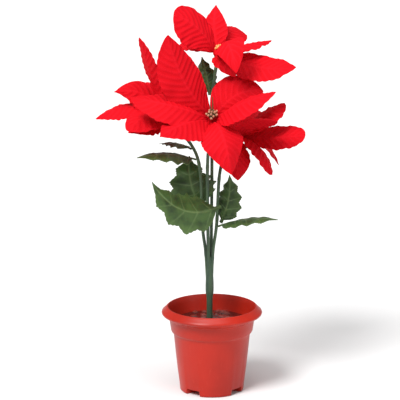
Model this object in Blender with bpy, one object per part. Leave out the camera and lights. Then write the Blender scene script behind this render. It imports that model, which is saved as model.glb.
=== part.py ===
"""Artificial poinsettia with four flower heads, standing in a small moulded pot.

The frame is in metres with +Z up. The origin lies on the table under the middle of the pot,
the front of the plant looks along -Y, and +X is to the right of someone who faces it.
Sizes in this file are millimetres, and each mesh is scaled to metres when it is made.
"""

import math
import random
from dataclasses import dataclass

import bmesh
import bpy
import numpy as np
from mathutils import Vector

MM = 0.001
SEAT_GAP = 0.3

# Pot: a 90 mm pot with a turned-out rim, a collar and a foot of four lobes
RIM_RADIUS = 45.0
POT_HEIGHT = 77.0
BASE_RADIUS = 28.5
WALL = 1.5
POT_SEGMENTS = 40
POT_TURN = math.radians(7.5)
LOBE_COUNT = 4
FLUTE_DEPTH = 0.7
FLUTE_TOP = 50.0
NOTCH_HEIGHT = 5.0
NOTCH_HALF_ANGLE = math.radians(14.0)
NOTCH_INNER_RADIUS = 10.0
DRAIN_RADIUS = 3.0
DRAIN_PLACE = 17.0

# Set fill in the pot, with a lumpy top and a plain hole for the trunk
FILL_LEVEL = 61.5
FILL_MOUND = 5.0
FILL_LUMP = 2.2
HOLE_DEPTH_LEVEL = 27.0
FILL_SEED = 4
FILL_SEGMENTS = 28

# Trunk and stems: plastic-coated wires moulded together at the bottom
TRUNK_X = -2.0
TRUNK_Y = 1.0
TRUNK_RADIUS = 2.7
TRUNK_TOP = 88.0
COLLAR_RADIUS = 3.7
STEM_RADIUS = 1.45
STEM_SIDES = 8
STEM_STEPS = 13
CUP_RADIUS = 3.6
CUP_LENGTH = 6.0

# Cloth blades: bracts and leaves
BLADE_THICKNESS = 0.8
BLADE_COLUMNS = 4
BRACT_ROWS = 8
BLADE_BASE_WIDTH = 3.6
BLADE_TIP_WIDTH = 0.9
EDGE_RIPPLE = 0.9
HUB_RADIUS = 4.6
HUB_HEIGHT = 4.0
ROOT_RADIUS = 3.0

# Floret clusters in the middle of the heads
BEAD_RADIUS = 1.7
FLORET_NECK = 2.5
STYLE_LENGTH = 17.0
GOLDEN_ANGLE = math.radians(137.5)

# Outline of a leaf: how far along the midrib, and the share of the half width there
LEAF_OUTLINE = (
    (0.0, 0.07), (0.07, 0.10), (0.15, 0.55), (0.24, 0.86), (0.31, 0.74), (0.42, 1.0),
    (0.50, 0.72), (0.60, 0.84), (0.69, 0.50), (0.79, 0.52), (0.88, 0.20), (1.0, 0.02),
)


@dataclass(frozen=True)
class Bract:
    """One red cloth bract. Its tip is given from the middle of its head's hub."""

    tip: tuple
    width: float = 38.0
    bow: float = 8.0
    sway: float = 0.0
    roll: float = 0.0
    fold: float = -16.0
    belly: float = 0.48


@dataclass(frozen=True)
class Head:
    """A flower head: the middle of its hub, the way it faces, its florets and its bracts."""

    name: str
    seat: tuple
    axis: tuple
    beads: int
    spread: float
    bracts: tuple
    style: tuple = ()


@dataclass(frozen=True)
class Leaf:
    """One green cloth leaf, from the root of its stalk on a stem to its tip."""

    name: str
    root: tuple
    tip: tuple
    facing: tuple
    width: float = 42.0
    bow: float = 6.0
    sway: float = 0.0
    fold: float = -12.0


TOP_HEAD = Head(
    name="top", seat=(5.3, 18.0, 303.5), axis=(0.10, -0.50, 0.86), beads=7, spread=2.9,
    bracts=(
        Bract(tip=(-39.0, -9.0, 36.0), width=43.0, bow=4.5, sway=3.5, roll=9.0, belly=0.58),
        Bract(tip=(-1.5, 35.5, 36.5), width=24.0, bow=2.5, sway=-3.0, roll=20.0, belly=0.42),
        Bract(tip=(15.5, -44.0, -9.0), width=29.0, bow=20.0, roll=-24.0),
        Bract(tip=(15.0, -19.5, -17.5), width=30.0, bow=10.0, sway=1.5, roll=8.0),
        Bract(tip=(68.0, -19.5, -9.0), width=37.0, bow=-6.5, sway=1.0, fold=-4.0),
        Bract(tip=(47.5, 22.5, 7.0), width=28.0, bow=3.0, roll=35.0),
        Bract(tip=(16.0, 62.0, 10.0), width=36.0, bow=10.0),
        Bract(tip=(-34.0, 50.0, -4.0), width=34.0, bow=10.0),
    ),
)

FRONT_HEAD = Head(
    name="front", seat=(0.0, -14.0, 251.5), axis=(0.0, -0.75, 0.66), beads=12, spread=5.4,
    bracts=(
        Bract(tip=(-38.5, -2.5, 74.5), width=42.0, bow=5.0, sway=-8.0, roll=-6.0),
        Bract(tip=(45.0, 15.0, 21.0), width=42.0, bow=9.0, sway=-5.0, roll=-8.0, fold=-11.0),
        Bract(tip=(54.5, -33.5, 30.5), width=37.0, bow=7.5, sway=2.0, roll=27.0, fold=-20.0),
        Bract(tip=(16.5, -39.0, -41.0), width=41.0, bow=18.5, sway=-1.0, roll=6.0, fold=-24.0),
        Bract(tip=(-45.0, -44.0, -6.5), width=42.0, bow=5.0, sway=2.0, roll=-10.0, belly=0.42),
        Bract(tip=(-71.0, -9.0, 20.5), width=40.0, bow=13.0, sway=-4.5, roll=-17.0),
    ),
    style=(0.0, -0.2, 1.0),
)

LEFT_HEAD = Head(
    name="left", seat=(-39.6, 11.0, 247.0), axis=(-0.45, -0.30, 0.84), beads=4, spread=1.5,
    bracts=(
        Bract(tip=(-24.5, -2.0, 72.0), width=28.0, bow=1.5, sway=-1.5, roll=28.0),
        Bract(tip=(-46.5, -0.5, 23.0), width=35.0, bow=6.0, sway=9.0, roll=14.0, belly=0.40),
        Bract(tip=(-63.5, 7.5, -3.0), width=36.0, bow=12.0, sway=2.0, roll=-9.0),
        Bract(tip=(-34.0, -37.5, -4.0), width=38.0, bow=9.5, sway=-4.0, roll=20.0, belly=0.55),
        Bract(tip=(-32.5, -20.5, -9.5), width=36.0, bow=1.5, sway=2.5, fold=-20.0),
        Bract(tip=(-30.0, 64.0, 16.0), width=38.0, bow=8.0),
        Bract(tip=(6.0, 62.0, 2.0), width=36.0, bow=8.0),
    ),
)

RIGHT_HEAD = Head(
    name="right", seat=(23.1, 19.0, 230.0), axis=(0.55, -0.25, 0.80), beads=5, spread=2.3,
    bracts=(
        Bract(tip=(41.5, 7.5, 26.5), width=34.0, bow=4.0, roll=31.0, belly=0.58),
        Bract(tip=(34.5, -28.0, 17.5), width=30.0, bow=7.0, sway=7.0, roll=7.0, belly=0.55),
        Bract(tip=(59.5, -10.0, 1.5), width=36.0, bow=-2.0, roll=-12.0, fold=-2.0, belly=0.61),
        Bract(tip=(30.0, -25.5, -31.0), width=28.0, bow=8.5, sway=2.0, roll=9.0, belly=0.58),
        Bract(tip=(37.0, 25.0, -34.0), width=22.0, bow=5.0, sway=-12.0, roll=32.0, fold=-8.0),
        Bract(tip=(-0.5, -42.0, -32.0), width=30.0, bow=4.5, sway=4.0, roll=-10.0),
        Bract(tip=(22.0, 65.0, 6.0), width=38.0, bow=8.0),
        Bract(tip=(-24.0, 55.0, 8.0), width=34.0, bow=8.0),
    ),
)

HEADS = (TOP_HEAD, FRONT_HEAD, LEFT_HEAD, RIGHT_HEAD)

# Way of each stem from the trunk up to its head, whose cup it ends in
STEM_WAYS = {
    "top": ((-1.0, 2.6, 88.0), (-0.6, 4.6, 125.0), (-0.4, 6.5, 150.0), (0.0, 14.0, 205.0),
            (-0.5, 24.0, 255.0)),
    "front": ((-2.6, -0.8, 88.0), (-3.2, -0.6, 125.0), (-3.6, -2.0, 150.0),
              (-4.0, -2.5, 205.0), (-2.0, -3.0, 232.0)),
    "left": ((-3.4, 1.2, 88.0), (-5.4, 1.6, 125.0), (-8.4, 1.6, 150.0), (-10.6, 3.0, 201.0),
             (-18.5, 8.0, 223.0)),
    "right": ((-0.6, 0.2, 88.0), (0.8, 1.0, 125.0), (4.2, 2.0, 152.0), (6.6, 6.0, 195.0),
              (12.0, 16.0, 214.0)),
}

LEAVES = (
    Leaf(name="leaf_left_upright", root=(-8.5, 6.9, 164.0), tip=(-20.0, 15.5, 211.0),
         facing=(-0.1, -0.95, 0.2), width=46.0, bow=5.0, sway=-4.0, fold=-6.0),
    Leaf(name="leaf_left_low", root=(8.0, -4.6, 170.0), tip=(-52.5, -22.0, 196.0),
         facing=(0.1, -0.75, 0.65), width=42.0, bow=-4.0, sway=-14.0, fold=-14.0),
    Leaf(name="leaf_right_upright", root=(7.7, 2.8, 153.0), tip=(15.5, 4.5, 196.0),
         facing=(-0.5, -0.85, 0.2), width=28.0, bow=-1.0, sway=3.0),
    Leaf(name="leaf_right_low", root=(5.5, 0.6, 150.5), tip=(58.0, -22.0, 162.0),
         facing=(0.0, 0.0, 1.0), width=38.0, bow=4.0),
    Leaf(name="leaf_left_high", root=(-14.3, 2.9, 211.0), tip=(-66.0, -18.0, 217.0),
         facing=(-0.1, -0.15, 1.0), width=36.0, bow=4.0),
    Leaf(name="leaf_left_small", root=(-18.1, 9.0, 219.0), tip=(-47.0, 28.0, 219.0),
         facing=(0.0, 0.1, 1.0), width=24.0, bow=3.0),
    Leaf(name="leaf_right_high", root=(13.8, 19.2, 214.0), tip=(46.0, 33.0, 217.0),
         facing=(0.0, 0.1, 1.0), width=20.0, bow=3.0),
    Leaf(name="leaf_top", root=(-1.5, 26.1, 264.0), tip=(-9.0, 34.0, 297.0),
         facing=(0.0, -0.95, 0.3), width=20.0, bow=3.0),
)

BRACT_RED = (0.78, 0.012, 0.022)
LEAF_GREEN = (0.085, 0.160, 0.050)
STEM_GREEN = (0.060, 0.125, 0.055)
POT_RED = (0.48, 0.035, 0.022)
FILL_RED = (0.22, 0.018, 0.010)
FLORET_COLOURS = {
    "top": (0.85, 0.30, 0.06), "front": (0.40, 0.26, 0.09),
    "left": (0.85, 0.30, 0.06), "right": (0.85, 0.30, 0.06),
}


def clear_scene():
    """Removes every object, so that the script starts from nothing."""
    for item in list(bpy.data.objects):
        bpy.data.objects.remove(item, do_unlink=True)


def make_material(name, colour, roughness):
    """Makes a Principled material of one colour."""
    material = bpy.data.materials.new(name)
    material.use_nodes = True
    shader = material.node_tree.nodes["Principled BSDF"]
    shader.inputs["Base Color"].default_value = (*colour, 1.0)
    shader.inputs["Roughness"].default_value = roughness
    shader.inputs["Metallic"].default_value = 0.0
    return material


def make_object(name, points, faces, material=None, smooth=True):
    """Makes a mesh object from points in millimetres, with its faces turned outwards."""
    mesh = bpy.data.meshes.new(name)
    mesh.from_pydata([[value * MM for value in point] for point in points], [], faces)
    shape = bmesh.new()
    shape.from_mesh(mesh)
    bmesh.ops.recalc_face_normals(shape, faces=shape.faces)
    shape.to_mesh(mesh)
    shape.free()
    if material:
        mesh.materials.append(material)
    if smooth:
        mesh.shade_smooth()
        mesh.set_sharp_from_angle(angle=math.radians(40.0))
    item = bpy.data.objects.new(name, mesh)
    bpy.context.scene.collection.objects.link(item)
    return item


def unit(vector):
    """Gives the vector at a length of one."""
    vector = np.asarray(vector, float)
    return vector / np.linalg.norm(vector)


def smooth_way(points, steps):
    """Gives evenly spaced points on a smooth curve through the given points."""
    knots = [np.asarray(point, float) for point in points]
    knots = [2 * knots[0] - knots[1], *knots, 2 * knots[-1] - knots[-2]]
    fine = []
    for a, b, c, d in zip(knots, knots[1:], knots[2:], knots[3:]):
        for t in np.linspace(0.0, 1.0, 12, endpoint=False):
            fine.append(0.5 * (2 * b + (c - a) * t + (2 * a - 5 * b + 4 * c - d) * t * t
                               + (3 * b - 3 * c + d - a) * t ** 3))
    fine.append(knots[-2])
    fine = np.array(fine)
    walked = np.concatenate([[0.0], np.cumsum(np.linalg.norm(np.diff(fine, axis=0), axis=1))])
    marks = np.linspace(0.0, walked[-1], steps)
    return np.stack([np.interp(marks, walked, fine[:, k]) for k in range(3)], axis=1)


def tube(name, way, radii, sides, material=None):
    """Sweeps a round section along a way, closed at both ends."""
    way = np.asarray(way, float)
    along = np.gradient(way, axis=0)
    side = unit(np.cross(along[0], (0.0, 1.0, 0.2)))
    points, faces = [], []
    for middle, direction, radius in zip(way, along, radii):
        direction = unit(direction)
        side = unit(side - direction * (side @ direction))
        other = np.cross(direction, side)
        for k in range(sides):
            angle = 2 * math.pi * k / sides
            points.append(middle + radius * (math.cos(angle) * side + math.sin(angle) * other))
    for row in range(len(way) - 1):
        for k in range(sides):
            a, b = row * sides + k, row * sides + (k + 1) % sides
            faces.append((a, b, b + sides, a + sides))
    faces.append(tuple(range(sides - 1, -1, -1)))
    faces.append(tuple(range((len(way) - 1) * sides, len(way) * sides)))
    return make_object(name, points, faces, material)


def lathe(name, profile, segments, shift=None, material=None, turn=0.0):
    """Turns a profile of (radius, height) points round the Z axis into a closed body.

    The profile starts and ends on the axis. shift(radius, height, angle) gives each point's
    own radius and height, for flutes and lumps.
    """
    points, faces, rings = [], [], []
    for radius, height in profile:
        ring = []
        count = segments if radius > 0 else 1
        for k in range(count):
            angle = 2 * math.pi * k / segments
            r, z = shift(radius, height, angle) if shift and radius > 0 else (radius, height)
            ring.append(len(points))
            points.append((r * math.cos(angle + turn), r * math.sin(angle + turn), z))
        rings.append(ring)
    for low, high in zip(rings, rings[1:]):
        for k in range(segments):
            n = (k + 1) % segments
            corners = [low[k % len(low)], low[n % len(low)], high[n % len(high)],
                       high[k % len(high)]]
            faces.append(tuple(dict.fromkeys(corners)))
    return make_object(name, points, faces, material)


def join(name, base, others, material, solver="EXACT"):
    """Joins solids into one closed body with one Boolean union on a collection."""
    group = bpy.data.collections.new(name + "_parts")
    bpy.context.scene.collection.children.link(group)
    for item in others:
        bpy.context.scene.collection.objects.unlink(item)
        group.objects.link(item)
    cut = base.modifiers.new("join", "BOOLEAN")
    cut.operation = "UNION"
    cut.operand_type = "COLLECTION"
    cut.collection = group
    cut.solver = solver
    apply_modifiers(base)
    for item in others:
        bpy.data.objects.remove(item, do_unlink=True)
    bpy.data.collections.remove(group)
    keep_main_body(base.data)
    base.name = name
    base.data.materials.clear()
    base.data.materials.append(material)
    base.data.shade_smooth()
    base.data.set_sharp_from_angle(angle=math.radians(40.0))
    return base


def cut_away(base, cutters):
    """Cuts each cutter out of the base and removes it."""
    for cutter in cutters:
        cut = base.modifiers.new("cut", "BOOLEAN")
        cut.operation = "DIFFERENCE"
        cut.object = cutter
        cut.solver = "EXACT"
        apply_modifiers(base)
        bpy.data.objects.remove(cutter, do_unlink=True)


def apply_modifiers(item):
    """Replaces an object's mesh by the mesh that its modifiers give."""
    bpy.context.view_layer.update()
    graph = bpy.context.evaluated_depsgraph_get()
    mesh = bpy.data.meshes.new_from_object(item.evaluated_get(graph))
    item.modifiers.clear()
    item.data = mesh


def keep_main_body(mesh):
    """Keeps the largest shell, which drops loose scraps and fills sealed hollows."""
    shape = bmesh.new()
    shape.from_mesh(mesh)
    bmesh.ops.triangulate(shape, faces=shape.faces)
    left, shells = set(shape.faces), []
    while left:
        shell, queue = [], [left.pop()]
        while queue:
            face = queue.pop()
            shell.append(face)
            edges = [edge for edge in face.edges if len(edge.link_faces) == 2]
            for other in {other for edge in edges for other in edge.link_faces} & left:
                left.remove(other)
                queue.append(other)
        shells.append(shell)
    shells.sort(key=len, reverse=True)
    loose = [face for shell in shells[1:] for face in shell]
    bmesh.ops.delete(shape, geom=loose, context="FACES")
    shape.to_mesh(mesh)
    shape.free()


def oval(s, belly):
    """Gives a bract's half width at s along it, as a share of its widest place."""
    rise = 0.75
    fall = rise * (1.0 - belly) / belly
    return (s / belly) ** rise * ((1.0 - s) / (1.0 - belly)) ** fall


def blade_grid(root, tip, facing, width, bow, sway, roll, fold, rows, shares):
    """Works out the middle surface of a cloth blade as a grid of points.

    The midrib is a curve from root to tip that bows towards the facing side and sways
    sideways. Both halves rise from it by the fold angle, and their edges ripple.
    """
    root, tip = np.asarray(root, float), np.asarray(tip, float)
    chord = unit(tip - root)
    up = unit(np.asarray(facing, float) - chord * np.dot(facing, chord))
    across = np.cross(chord, up)
    crest = (root + tip) / 2 + 2 * bow * up + 2 * sway * across
    lift, reach = math.sin(math.radians(fold)), math.cos(math.radians(fold))
    turn = math.radians(roll)
    grid = []
    for s, share in zip(rows, shares):
        middle = root * (1 - s) ** 2 + crest * 2 * s * (1 - s) + tip * s * s
        along = unit((crest - root) * (1 - s) + (tip - crest) * s)
        side = unit(np.cross(along, up))
        normal = np.cross(side, along)
        side, normal = (side * math.cos(turn) + normal * math.sin(turn),
                        normal * math.cos(turn) - side * math.sin(turn))
        base = BLADE_BASE_WIDTH / 2 * (1 - s)
        half = max(width / 2 * share, base, BLADE_TIP_WIDTH / 2)
        row = []
        for t in np.linspace(-1.0, 1.0, BLADE_COLUMNS + 1):
            ripple = EDGE_RIPPLE * share * t * t * math.sin(9.0 * math.pi * s + t)
            row.append(middle + side * half * t * reach
                       + normal * (half * abs(t) * lift + ripple))
        grid.append(row)
    return np.array(grid)


def blade(name, grid, material=None):
    """Thickens a grid into a closed blade, both faces split into the same triangles."""
    along, across = np.gradient(grid, axis=0), np.gradient(grid, axis=1)
    normal = np.cross(across, along)
    normal /= np.linalg.norm(normal, axis=2, keepdims=True)
    rows, columns = grid.shape[:2]
    top, bottom = grid + normal * BLADE_THICKNESS / 2, grid - normal * BLADE_THICKNESS / 2
    points = [*top.reshape(-1, 3), *bottom.reshape(-1, 3)]
    under, faces = rows * columns, []
    for i in range(rows - 1):
        for j in range(columns - 1):
            a, b = i * columns + j, i * columns + j + 1
            c, d = b + columns, a + columns
            if j >= columns // 2:
                halves = ((a, b, d), (b, c, d))
            else:
                halves = ((a, b, c), (a, c, d))
            for one, two, three in halves:
                faces.append((one, two, three))
                faces.append((under + three, under + two, under + one))
    rim = [*range(columns), *range(2 * columns - 1, rows * columns, columns),
           *range(rows * columns - 2, (rows - 1) * columns - 1, -1),
           *range((rows - 2) * columns, 0, -columns)]
    for a, b in zip(rim, rim[1:] + rim[:1]):
        faces.append((a, under + b, b))
        faces.append((a, under + a, under + b))
    return make_object(name, points, faces, material)


def make_bracts(head, material):
    """Builds the bracts of a head, joined by the hub that they are pressed on."""
    seat, axis = np.array(head.seat), unit(head.axis)
    ends = [seat - axis * HUB_HEIGHT / 2, seat + axis * HUB_HEIGHT / 2]
    hub = tube("hub", ends, (HUB_RADIUS, HUB_RADIUS), 12)
    rows = np.linspace(0.0, 1.0, BRACT_ROWS + 1)
    blades = []
    for bract in head.bracts:
        shares = [oval(s, bract.belly) if 0 < s < 1 else 0.0 for s in rows]
        tip = np.array(bract.tip)
        root = seat + unit(tip - axis * (tip @ axis)) * ROOT_RADIUS
        grid = blade_grid(root, seat + tip, axis, bract.width, bract.bow, bract.sway,
                          bract.roll, bract.fold, rows, shares)
        blades.append(blade("bract", grid))
    return join("bracts_" + head.name, hub, blades, material)


def make_florets(head, material):
    """Builds the cluster of bead-like florets that stands on a head's hub."""
    seat, axis = np.array(head.seat), unit(head.axis)
    foot = seat + axis * (HUB_HEIGHT / 2 + SEAT_GAP)
    dome = head.spread * 0.75
    heights = (0.0, FLORET_NECK, FLORET_NECK + dome * 0.6, FLORET_NECK + dome)
    core = tube("core", [foot + axis * height for height in heights],
                (1.3, 1.3, dome, dome * 0.5), 8)
    side = unit(np.cross(axis, (1.0, 0.0, 0.3)))
    other = np.cross(axis, side)
    beads = []
    for k in range(head.beads):
        reach = math.sqrt((k + 0.4) / head.beads)
        angle = k * GOLDEN_ANGLE
        place = (foot + axis * (FLORET_NECK + dome * (1.15 - 0.75 * reach * reach))
                 + head.spread * 0.85 * reach * (math.cos(angle) * side + math.sin(angle) * other))
        beads.append(bead(place))
    if head.style:
        start = foot + axis * (FLORET_NECK + dome * 0.5)
        end = start + unit(head.style) * STYLE_LENGTH
        beads.append(tube("style", [start, (start + end) / 2, end], (0.9, 0.7, 0.35), 5))
    return join("florets_" + head.name, core, beads, material)


def bead(place):
    """Makes one round floret bud."""
    shape = bmesh.new()
    bmesh.ops.create_uvsphere(shape, u_segments=7, v_segments=5, radius=BEAD_RADIUS)
    points = [np.array(corner.co) + place for corner in shape.verts]
    faces = [tuple(corner.index for corner in face.verts) for face in shape.faces]
    shape.free()
    return make_object("bead", points, faces)


def make_stems(material):
    """Builds the trunk with its moulded collar and the four stems that leave it."""
    levels = ((HOLE_DEPTH_LEVEL + 1.0, TRUNK_RADIUS), (60.0, TRUNK_RADIUS),
              (TRUNK_TOP - 5.0, TRUNK_RADIUS), (TRUNK_TOP - 2.0, TRUNK_RADIUS + 0.3),
              (TRUNK_TOP + 2.0, COLLAR_RADIUS), (TRUNK_TOP + 10.0, COLLAR_RADIUS),
              (TRUNK_TOP + 22.0, 3.0), (TRUNK_TOP + 34.0, 1.6))
    trunk = tube("trunk", [(TRUNK_X, TRUNK_Y, z) for z, _ in levels],
                 [radius for _, radius in levels], 12)
    stems = []
    for head in HEADS:
        seat, axis = np.array(head.seat), unit(head.axis)
        cup_top = seat - axis * (HUB_HEIGHT / 2 + SEAT_GAP)
        cup_foot = cup_top - axis * CUP_LENGTH
        way = smooth_way([*STEM_WAYS[head.name], cup_foot, cup_top - axis], STEM_STEPS)
        stems.append(tube("stem", way, [STEM_RADIUS] * len(way), STEM_SIDES))
        stems.append(tube("cup", [cup_foot, cup_foot + axis * CUP_LENGTH * 0.6, cup_top],
                          (STEM_RADIUS * 1.15, CUP_RADIUS * 0.8, CUP_RADIUS), 8))
    return join("stems", trunk, stems, material)


def make_leaf(leaf, material):
    """Builds one lobed leaf on its short stalk."""
    rows = [s for s, _ in LEAF_OUTLINE]
    shares = [share for _, share in LEAF_OUTLINE]
    grid = blade_grid(leaf.root, leaf.tip, leaf.facing, leaf.width, leaf.bow, leaf.sway,
                      0.0, leaf.fold, rows, shares)
    return blade(leaf.name, grid, material)


def flute(angle):
    """Gives how deep a flute is at an angle, from 0 on a lobe to 1 in the flute's middle."""
    quarter = 2 * math.pi / LOBE_COUNT
    away = abs((angle + quarter / 2) % quarter - quarter / 2)
    return min(max((away - math.radians(28.0)) / math.radians(10.0), 0.0), 1.0)


def make_pot(material):
    """Builds the pot: foot with notches, tapered body, collar and turned-out rim."""
    outside = ((0.0, 0.0), (BASE_RADIUS - 0.8, 0.0),
               (BASE_RADIUS, 0.8), (30.6, 18.0), (32.6, 36.0), (34.3, 52.5), (36.6, 55.5),
               (38.3, 66.0), (RIM_RADIUS - 0.6, 70.6), (RIM_RADIUS, 71.6),
               (RIM_RADIUS - 0.5, 72.8), (40.4, POT_HEIGHT - 0.4), (39.8, POT_HEIGHT))
    inside = ((39.2, POT_HEIGHT - 0.5), (37.2, 66.0), (35.2, 56.5), (32.4, 51.5),
              (28.9, 18.0), (26.6, 2.6), (25.6, WALL), (0.0, WALL))
    fluted = set(outside[1:6])

    def shift(radius, height, angle):
        fade = max(1.0 - height / FLUTE_TOP, 0.0) if (radius, height) in fluted else 0.0
        return radius - FLUTE_DEPTH * fade * flute(angle), height

    pot = lathe("pot", outside + inside, POT_SEGMENTS, shift, turn=POT_TURN - math.pi / 2)
    housings, channels, drains = [], [], []
    for k in range(LOBE_COUNT):
        angle = POT_TURN - math.pi / 2 + (k + 0.5) * 2 * math.pi / LOBE_COUNT
        housings.append(sector(angle, WALL, NOTCH_INNER_RADIUS - WALL, 27.6,
                               0.5, NOTCH_HEIGHT + WALL))
        channels.append(sector(angle, 0.0, NOTCH_INNER_RADIUS, BASE_RADIUS + 5.0,
                               -2.0, NOTCH_HEIGHT))
        middle = np.array((DRAIN_PLACE * math.cos(angle), DRAIN_PLACE * math.sin(angle), 0.0))
        up = np.array((0.0, 0.0, 1.0))
        drains.append(tube("drain", [middle + up * 3.0, middle + up * 9.0],
                           (DRAIN_RADIUS, DRAIN_RADIUS), 12))
    join("pot", pot, housings, material)
    cut_away(pot, channels + drains)
    keep_main_body(pot.data)
    pot.data.shade_smooth()
    pot.data.set_sharp_from_angle(angle=math.radians(35.0))
    return pot


def sector(angle, margin, inner, outer, low, high):
    """Makes a wedge of a ring round an angle, wider by a margin on both sides."""
    points, faces, steps = [], [], 4
    for z in (low, high):
        for k in range(steps + 1):
            share = 2 * k / steps - 1
            for radius in (inner, outer):
                spread = NOTCH_HALF_ANGLE * share + math.asin(margin * share / max(radius, 1.0))
                points.append((radius * math.cos(angle + spread),
                               radius * math.sin(angle + spread), z))
    ring = 2 * (steps + 1)
    for k in range(steps):
        a, b, c, d = 2 * k, 2 * k + 1, 2 * k + 3, 2 * k + 2
        faces += [(a, b, c, d), (ring + d, ring + c, ring + b, ring + a)]
        faces += [(b, a, ring + a, ring + b)] if k == 0 else []
        faces += [(b, ring + b, ring + c, c), (d, ring + d, ring + a, a)]
        faces += [(d, c, ring + c, ring + d)] if k == steps - 1 else []
    return make_object("sector", points, faces)


def make_fill(material):
    """Builds the set fill of the pot, with its lumpy top and the trunk's hole."""
    draw = random.Random(FILL_SEED)
    waves = [(draw.uniform(0.0, math.tau), draw.choice((2, 3, 4, 5)), draw.uniform(4.0, 9.0))
             for _ in range(5)]
    hole = TRUNK_RADIUS + SEAT_GAP
    rings = (hole, 6.0, 11.0, 17.0, 23.0, 29.0, 34.6)
    top = tuple((radius, FILL_LEVEL) for radius in rings)
    profile = ((0.0, HOLE_DEPTH_LEVEL), (hole, HOLE_DEPTH_LEVEL), *top,
               (33.7, 55.0), (31.8, 51.3), (28.4, 18.0),
               (26.8, NOTCH_HEIGHT + WALL + SEAT_GAP), (0.0, NOTCH_HEIGHT + WALL + SEAT_GAP))

    def shift(radius, height, angle):
        if height != FILL_LEVEL:
            return radius, height
        lump = sum(math.sin(count * angle + phase) * math.sin(radius / length + phase)
                   for phase, count, length in waves)
        edge = min(max((34.0 - radius) / 8.0, 0.0), 1.0) * min(radius / 9.0, 1.0)
        mound = FILL_MOUND * math.exp(-(radius / 14.0) ** 2)
        return radius, height + mound + FILL_LUMP * 0.5 * lump * edge

    fill = lathe("pot_fill", profile, FILL_SEGMENTS, shift, material)
    for corner in fill.data.vertices:
        reach = math.hypot(corner.co.x, corner.co.y) / MM
        pull = max(1.0 - (reach - hole) / 24.0, 0.0) if reach > hole + 1 else 1.0
        if corner.co.z > (HOLE_DEPTH_LEVEL - 1.0) * MM:
            high = 1.0 if reach < 30.0 else 0.0
            corner.co.x += TRUNK_X * MM * pull * high
            corner.co.y += TRUNK_Y * MM * pull * high
    return fill


def main():
    """Builds every piece of the potted plant."""
    clear_scene()
    cloth_red = make_material("bract_cloth", BRACT_RED, 0.75)
    cloth_green = make_material("leaf_cloth", LEAF_GREEN, 0.62)
    plastic_green = make_material("stem_plastic", STEM_GREEN, 0.45)
    plastic_red = make_material("pot_plastic", POT_RED, 0.32)
    resin = make_material("fill_resin", FILL_RED, 0.18)
    make_pot(plastic_red)
    make_fill(resin)
    make_stems(plastic_green)
    for leaf in LEAVES:
        make_leaf(leaf, cloth_green)
    for head in HEADS:
        make_bracts(head, cloth_red)
        make_florets(head, make_material("floret_" + head.name, FLORET_COLOURS[head.name], 0.4))


main()
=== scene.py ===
"""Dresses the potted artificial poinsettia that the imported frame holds.

Four heads of red cloth bracts and eight lobed green leaves stand on coated wire stems, which
are moulded into one trunk and set in a 90 mm pot. The plant's front looks along -Y. Sizes in
this file are millimetres, and MeshKit scales each mesh to metres when it is made.
"""

from __future__ import annotations

import logging
import math
from dataclasses import dataclass
from enum import Enum
from typing import Any, Callable, Iterable, Sequence, Union

import bmesh
import bpy
import numpy as np
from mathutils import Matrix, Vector


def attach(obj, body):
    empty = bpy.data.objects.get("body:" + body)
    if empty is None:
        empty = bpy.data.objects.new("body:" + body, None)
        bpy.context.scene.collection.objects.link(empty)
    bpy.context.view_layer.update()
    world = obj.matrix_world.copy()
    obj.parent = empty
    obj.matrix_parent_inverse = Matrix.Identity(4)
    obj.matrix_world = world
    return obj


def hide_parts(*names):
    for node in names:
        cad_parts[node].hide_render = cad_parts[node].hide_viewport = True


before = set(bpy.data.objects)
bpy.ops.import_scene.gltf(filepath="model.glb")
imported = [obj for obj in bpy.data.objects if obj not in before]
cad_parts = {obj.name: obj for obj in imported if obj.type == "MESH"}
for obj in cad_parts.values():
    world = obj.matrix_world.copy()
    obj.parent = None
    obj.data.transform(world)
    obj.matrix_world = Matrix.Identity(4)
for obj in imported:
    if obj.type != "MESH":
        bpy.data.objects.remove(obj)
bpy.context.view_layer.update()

LOG = logging.getLogger("poinsettia")
MM = 0.001
BODY = "root"
Point = tuple[float, float, float]
Colour = tuple[float, float, float]


def unit(vector: Sequence[float]) -> np.ndarray:
    """Gives the vector at a length of one."""
    array = np.asarray(vector, float)
    return array / np.linalg.norm(array)


def units(vectors: np.ndarray) -> np.ndarray:
    """Gives each row of an array of vectors at a length of one."""
    return vectors / np.linalg.norm(vectors, axis=-1, keepdims=True)


def bell(distance: np.ndarray, width: float) -> np.ndarray:
    """Gives a smooth bump that is 1 at no distance and fades over the width."""
    return np.exp(-(distance / width) ** 2)


def smooth_way(points: Sequence[Point], steps: int) -> np.ndarray:
    """Gives evenly spaced points on a smooth curve through the given points.

    Args:
        points: The places that the curve passes through, in order.
        steps: How many points to give.

    Returns:
        An array of steps rows with three columns.
    """
    knots = [np.asarray(point, float) for point in points]
    knots = [2 * knots[0] - knots[1], *knots, 2 * knots[-1] - knots[-2]]
    fine = []
    for a, b, c, d in zip(knots, knots[1:], knots[2:], knots[3:]):
        for t in np.linspace(0.0, 1.0, 12, endpoint=False):
            fine.append(0.5 * (2 * b + (c - a) * t + (2 * a - 5 * b + 4 * c - d) * t * t
                               + (3 * b - 3 * c + d - a) * t ** 3))
    fine = np.array([*fine, knots[-2]])
    walked = np.concatenate([[0.0], np.cumsum(np.linalg.norm(np.diff(fine, axis=0), axis=1))])
    marks = np.linspace(0.0, walked[-1], steps)
    return np.stack([np.interp(marks, walked, fine[:, k]) for k in range(3)], axis=1)


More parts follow.
